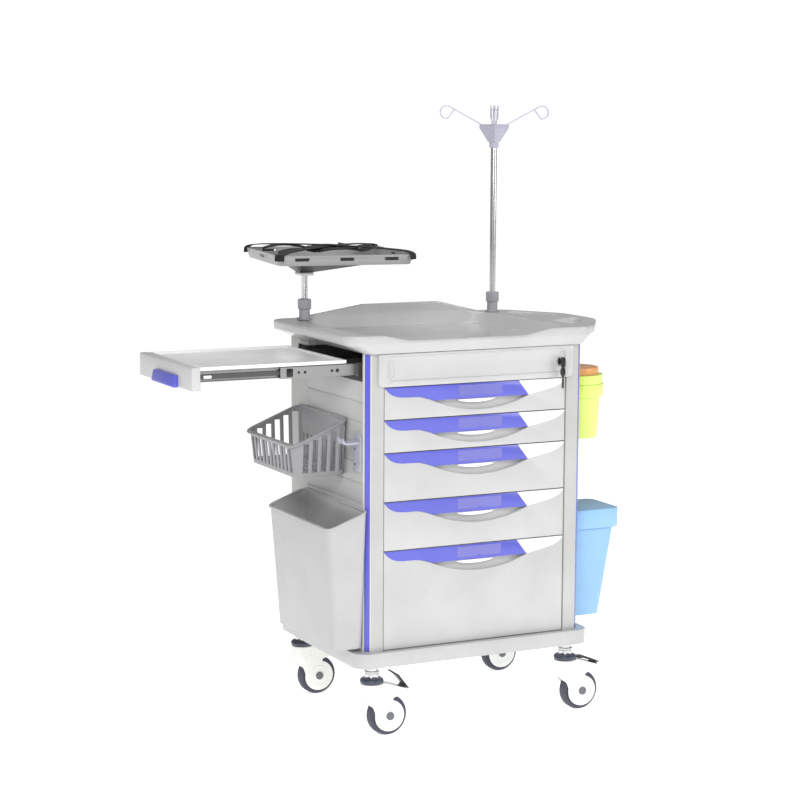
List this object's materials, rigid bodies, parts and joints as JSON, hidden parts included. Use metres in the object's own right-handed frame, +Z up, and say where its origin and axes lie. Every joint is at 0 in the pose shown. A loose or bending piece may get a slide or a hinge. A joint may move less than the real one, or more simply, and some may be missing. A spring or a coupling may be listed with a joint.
{
  "type": "hospital crash cart",
  "caption": "Wheeled hospital emergency cart with drawers under a tray worktop, push handle, pull-out side shelf, swivel platform, IV pole and hung bins.",
  "frame": {"origin": "bottom centre of the whole cart's box, on the floor, in the stored pose with the side shelf pulled out", "axes": "+Z up; +X from the side shelf towards the push handle; -Y towards the drawer fronts"},
  "size_m": [1.195, 0.6624, 1.5231],
  "materials": {
    "shell_plastic": "glossy moulded plastic",
    "white_plastic": "glossy moulded plastic",
    "accent_blue": "glossy coloured plastic",
    "column_alloy": "powder coated extrusion",
    "panel_steel": "powder coated sheet",
    "slide_steel": "zinc plated",
    "tub_plastic": "satin",
    "caster_plastic": "moulded nylon",
    "tyre": "soft grey rubber",
    "stem_steel": "plated",
    "dark_plastic": "satin",
    "pole_steel": "polished stainless",
    "lilac_plastic": "glossy moulded plastic",
    "hook_wire": "plated wire",
    "webbing": "woven",
    "grey_plastic": "satin",
    "bin_plastic": "glossy moulded plastic",
    "lemon_plastic": "glossy moulded plastic",
    "orange_plastic": "satin moulded plastic",
    "pale_blue_plastic": "glossy moulded plastic"
  },
  "bodies": {
    "cabinet": {"base_platform": "shell_plastic", "caster_stems": "stem_steel", "corner_columns": "column_alloy", "column_trim_strips": "accent_blue", "left_side_panel": "panel_steel", "right_side_panel": "panel_steel", "back_panel": "panel_steel", "drawer_frame": "panel_steel", "slide_channels": "slide_steel", "front_fascia": "white_plastic", "lock_cylinder": "stem_steel", "worktop": "shell_plastic", "pole_sockets": "dark_plastic", "double_hook": "lilac_plastic", "sharps_holder": "grey_plastic"},
    "shelf": {"shelf_tray": "white_plastic", "shelf_front": "white_plastic", "shelf_handle": "accent_blue", "shelf_runners": "slide_steel"},
    "shelf_slides": {"shelf_mid_rails": "slide_steel"},
    "key": {"lock_key": "dark_plastic"},
    "iv_mast": {"iv_pole": "pole_steel"},
    "iv_crown": {"iv_head": "lilac_plastic", "iv_hooks": "hook_wire"},
    "iv_clamp": {"iv_knob": "dark_plastic"},
    "post": {"platform_post": "pole_steel"},
    "platform": {"platform_tray": "grey_plastic", "platform_straps": "webbing"},
    "post_clamp": {"platform_knob": "dark_plastic"},
    "side_basket": {"basket": "grey_plastic"},
    "side_bin": {"waste_bin": "bin_plastic"},
    "sharps_tub": {"sharps_container": "lemon_plastic"},
    "sharps_cap": {"sharps_lid": "orange_plastic"},
    "blue_bin": {"lidded_bin": "pale_blue_plastic"},
    "blue_bin_lid": {"bin_lid": "pale_blue_plastic"},
    "drawer_1": {"drawer_1_front": "white_plastic", "drawer_1_accent": "accent_blue", "drawer_1_tub": "tub_plastic"},
    "drawer_2": {"drawer_2_front": "white_plastic", "drawer_2_accent": "accent_blue", "drawer_2_tub": "tub_plastic"},
    "drawer_3": {"drawer_3_front": "white_plastic", "drawer_3_accent": "accent_blue", "drawer_3_tub": "tub_plastic"},
    "drawer_4": {"drawer_4_front": "white_plastic", "drawer_4_accent": "accent_blue", "drawer_4_tub": "tub_plastic"},
    "drawer_5": {"drawer_5_front": "white_plastic", "drawer_5_accent": "accent_blue", "drawer_5_tub": "tub_plastic"},
    "caster_front_left": {"caster_housing_front_left": "caster_plastic"},
    "wheel_front_left": {"caster_wheel_front_left": "tyre"},
    "pedal_front_left": {"brake_pedal_front_left": "dark_plastic"},
    "caster_front_right": {"caster_housing_front_right": "caster_plastic"},
    "wheel_front_right": {"caster_wheel_front_right": "tyre"},
    "pedal_front_right": {"brake_pedal_front_right": "dark_plastic"},
    "caster_rear_left": {"caster_housing_rear_left": "caster_plastic"},
    "wheel_rear_left": {"caster_wheel_rear_left": "tyre"},
    "caster_rear_right": {"caster_housing_rear_right": "caster_plastic"},
    "wheel_rear_right": {"caster_wheel_rear_right": "tyre"}
  },
  "joints": [
    {"name": "shelf_slide", "type": "slide", "parent": "cabinet", "child": "shelf", "axis": [1, 0, 0], "range_m": [0, 0.4]},
    {"name": "shelf_mid_slide", "type": "slide", "parent": "cabinet", "child": "shelf_slides", "axis": [1, 0, 0], "range_m": [0, 0.2]},
    {"name": "drawer_1_slide", "type": "slide", "parent": "cabinet", "child": "drawer_1", "axis": [0, -1, 0], "range_m": [0, 0.32]},
    {"name": "drawer_2_slide", "type": "slide", "parent": "cabinet", "child": "drawer_2", "axis": [0, -1, 0], "range_m": [0, 0.32]},
    {"name": "drawer_3_slide", "type": "slide", "parent": "cabinet", "child": "drawer_3", "axis": [0, -1, 0], "range_m": [0, 0.32]},
    {"name": "drawer_4_slide", "type": "slide", "parent": "cabinet", "child": "drawer_4", "axis": [0, -1, 0], "range_m": [0, 0.32]},
    {"name": "drawer_5_slide", "type": "slide", "parent": "cabinet", "child": "drawer_5", "axis": [0, -1, 0], "range_m": [0, 0.32]},
    {"name": "lock_key_turn", "type": "hinge", "parent": "cabinet", "child": "key", "pos_m": [0.36754, -0.30171, 0.8965], "axis": [0, 1, 0], "range_deg": [0, 90]},
    {"name": "iv_pole_height", "type": "slide", "parent": "cabinet", "child": "iv_mast", "axis": [0, 0, 1], "range_m": [-0.3, 0.1]},
    {"name": "iv_head_turn", "type": "hinge", "parent": "iv_mast", "child": "iv_crown", "pos_m": [0.40854, 0.11729, 1.414], "axis": [0, 0, 1], "continuous": true},
    {"name": "iv_knob_turn", "type": "hinge", "parent": "cabinet", "child": "iv_clamp", "pos_m": [0.40854, 0.11729, 1.0085], "axis": [0, 0, 1], "range_deg": [-90, 90]},
    {"name": "platform_height", "type": "slide", "parent": "cabinet", "child": "post", "axis": [0, 0, 1], "range_m": [-0.05, 0.1]},
    {"name": "platform_turn", "type": "hinge", "parent": "post", "child": "platform", "pos_m": [-0.13446, 0.11729, 1.095], "axis": [0, 0, 1], "continuous": true},
    {"name": "platform_knob_turn", "type": "hinge", "parent": "cabinet", "child": "post_clamp", "pos_m": [-0.13446, 0.11729, 1.0085], "axis": [0, 0, 1], "range_deg": [-90, 90]},
    {"name": "caster_front_left_swivel", "type": "hinge", "parent": "cabinet", "child": "caster_front_left", "pos_m": [-0.13346, -0.28171, 0.132], "axis": [0, 0, 1], "continuous": true},
    {"name": "wheel_front_left_spin", "type": "hinge", "parent": "caster_front_left", "child": "wheel_front_left", "pos_m": [-0.09346, -0.28171, 0.05], "axis": [0, 1, 0], "continuous": true},
    {"name": "brake_front_left_press", "type": "hinge", "parent": "caster_front_left", "child": "pedal_front_left", "pos_m": [-0.05146, -0.28171, 0.113], "axis": [0, 1, 0], "range_deg": [-30, 0]},
    {"name": "caster_front_right_swivel", "type": "hinge", "parent": "cabinet", "child": "caster_front_right", "pos_m": [0.41054, -0.28171, 0.132], "axis": [0, 0, 1], "continuous": true},
    {"name": "wheel_front_right_spin", "type": "hinge", "parent": "caster_front_right", "child": "wheel_front_right", "pos_m": [0.45054, -0.28171, 0.05], "axis": [0, 1, 0], "continuous": true},
    {"name": "brake_front_right_press", "type": "hinge", "parent": "caster_front_right", "child": "pedal_front_right", "pos_m": [0.49254, -0.28171, 0.113], "axis": [0, 1, 0], "range_deg": [0, 30]},
    {"name": "caster_rear_left_swivel", "type": "hinge", "parent": "cabinet", "child": "caster_rear_left", "pos_m": [-0.13346, 0.13629, 0.132], "axis": [0, 0, 1], "continuous": true},
    {"name": "wheel_rear_left_spin", "type": "hinge", "parent": "caster_rear_left", "child": "wheel_rear_left", "pos_m": [-0.09346, 0.13629, 0.05], "axis": [0, 1, 0], "continuous": true},
    {"name": "caster_rear_right_swivel", "type": "hinge", "parent": "cabinet", "child": "caster_rear_right", "pos_m": [0.41054, 0.13629, 0.132], "axis": [0, 0, 1], "continuous": true},
    {"name": "wheel_rear_right_spin", "type": "hinge", "parent": "caster_rear_right", "child": "wheel_rear_right", "pos_m": [0.45054, 0.13629, 0.05], "axis": [0, 1, 0], "continuous": true},
    {"name": "basket_lift", "type": "slide", "parent": "cabinet", "child": "side_basket", "axis": [0, 0, 1], "range_m": [0, 0.08]},
    {"name": "waste_bin_lift", "type": "slide", "parent": "cabinet", "child": "side_bin", "axis": [0, 0, 1], "range_m": [0, 0.06]},
    {"name": "sharps_lift", "type": "slide", "parent": "cabinet", "child": "sharps_tub", "axis": [0, 0, 1], "range_m": [0, 0.08]},
    {"name": "sharps_lid_turn", "type": "hinge", "parent": "sharps_tub", "child": "sharps_cap", "pos_m": [0.51904, -0.13071, 0.84], "axis": [0, 0, 1], "range_deg": [0, 90]},
    {"name": "blue_bin_lift", "type": "slide", "parent": "cabinet", "child": "blue_bin", "axis": [0, 0, 1], "range_m": [0, 0.1]},
    {"name": "bin_lid_hinge", "type": "hinge", "parent": "blue_bin", "child": "blue_bin_lid", "pos_m": [0.44404, -0.16221, 0.4955], "axis": [0, -1, 0], "range_deg": [0, 80]}
  ],
  "couplings": [
    {"joint": "shelf_mid_slide", "follows": "shelf_slide", "ratio": 0.5}
  ]
}
